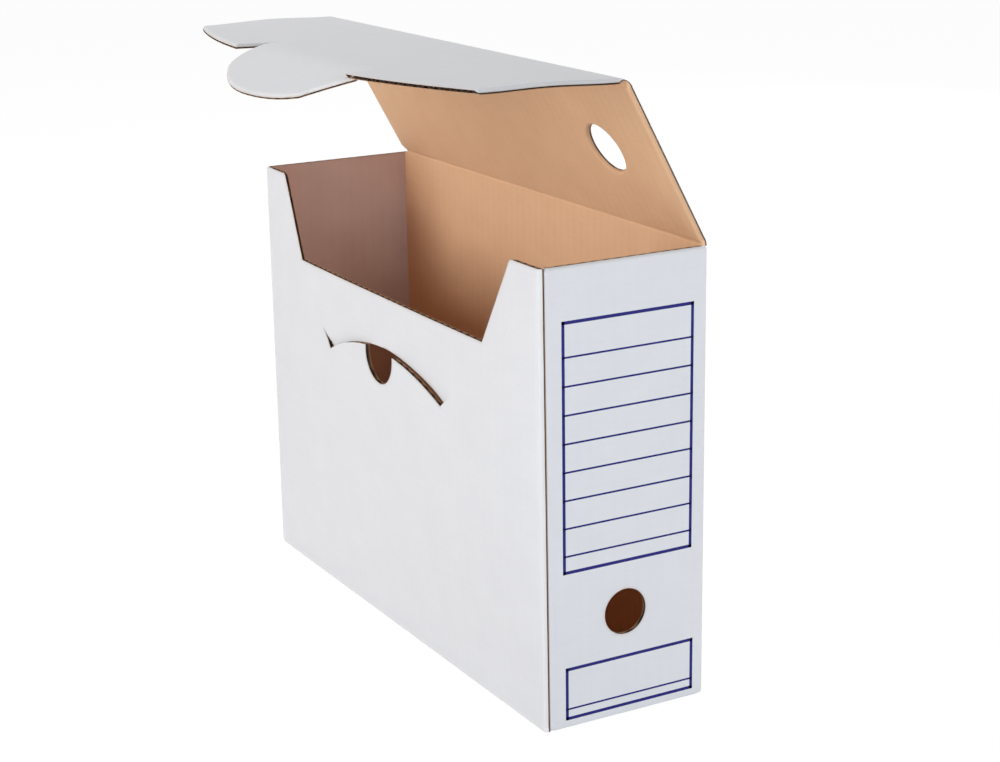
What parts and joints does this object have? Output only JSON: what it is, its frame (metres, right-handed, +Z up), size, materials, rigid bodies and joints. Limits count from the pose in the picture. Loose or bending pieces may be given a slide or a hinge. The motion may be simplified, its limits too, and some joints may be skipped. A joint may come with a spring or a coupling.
{
  "type": "archive box",
  "caption": "Upright corrugated-board archive box with a hinged lid, a front flap and a tongue that locks into a curved slit, with an access notch in front and a finger hole in the spine.",
  "frame": {"origin": "on the table under the middle of the box's bottom", "axes": "X along the long walls with the spine at +X, Y from the front wall to the back wall, Z up"},
  "size_m": [0.361, 0.1931, 0.3608],
  "materials": {
    "white_liner": "matte",
    "kraft_liner": "matte",
    "fluting_medium": "matte",
    "crushed_crease": "matte",
    "dried_glue": "satin"
  },
  "bodies": {
    "box": {"front_wall_outer_liner": "white_liner", "front_wall_fluting": "fluting_medium", "front_wall_inner_liner": "kraft_liner", "back_wall_outer_liner": "white_liner", "back_wall_fluting": "fluting_medium", "back_wall_inner_liner": "kraft_liner", "spine_wall_outer_liner": "white_liner", "spine_wall_fluting": "fluting_medium", "spine_wall_inner_liner": "kraft_liner", "end_wall_outer_liner": "white_liner", "end_wall_fluting": "fluting_medium", "end_wall_inner_liner": "kraft_liner", "glue_flap_outer_liner": "white_liner", "glue_flap_fluting": "fluting_medium", "glue_flap_inner_liner": "kraft_liner", "bottom_front_flap_outer_liner": "white_liner", "bottom_front_flap_fluting": "fluting_medium", "bottom_front_flap_inner_liner": "kraft_liner", "bottom_back_flap_outer_liner": "white_liner", "bottom_back_flap_fluting": "fluting_medium", "bottom_back_flap_inner_liner": "kraft_liner", "bottom_spine_flap_outer_liner": "white_liner", "bottom_spine_flap_fluting": "fluting_medium", "bottom_spine_flap_inner_liner": "kraft_liner", "bottom_end_flap_outer_liner": "white_liner", "bottom_end_flap_fluting": "fluting_medium", "bottom_end_flap_inner_liner": "kraft_liner", "corner_crease_front_end": "crushed_crease", "corner_crease_back_end": "crushed_crease", "corner_crease_back_spine": "crushed_crease", "corner_crease_glue_flap": "crushed_crease", "bottom_crease_front": "crushed_crease", "bottom_crease_back": "crushed_crease", "bottom_crease_spine": "crushed_crease", "bottom_crease_end": "crushed_crease", "seam_glue_strip": "dried_glue", "bottom_glue_strips": "dried_glue", "lid_hinge_crease": "crushed_crease"},
    "lid": {"lid_top_outer_liner": "white_liner", "lid_top_fluting": "fluting_medium", "lid_top_inner_liner": "kraft_liner", "lid_flap_crease": "crushed_crease"},
    "front_flap": {"lid_front_flap_outer_liner": "white_liner", "lid_front_flap_fluting": "fluting_medium", "lid_front_flap_inner_liner": "kraft_liner", "lock_tongue_crease": "crushed_crease"},
    "tongue": {"lock_tongue_outer_liner": "white_liner", "lock_tongue_fluting": "fluting_medium", "lock_tongue_inner_liner": "kraft_liner"}
  },
  "joints": [
    {"name": "lid_hinge", "type": "hinge", "parent": "box", "child": "lid", "pos_m": [0, 0.051, 0.2668], "axis": [-1, 0, 0], "range_deg": [-61.4, 118.6]},
    {"name": "flap_fold", "type": "hinge", "parent": "lid", "child": "front_flap", "pos_m": [0, 0.00059, 0.35925], "axis": [1, 0, 0], "range_deg": [-61.4, 18.6]},
    {"name": "tongue_fold", "type": "hinge", "parent": "front_flap", "child": "tongue", "pos_m": [0, -0.09691, 0.35925], "axis": [1, 0, 0], "range_deg": [-20, 0]}
  ]
}
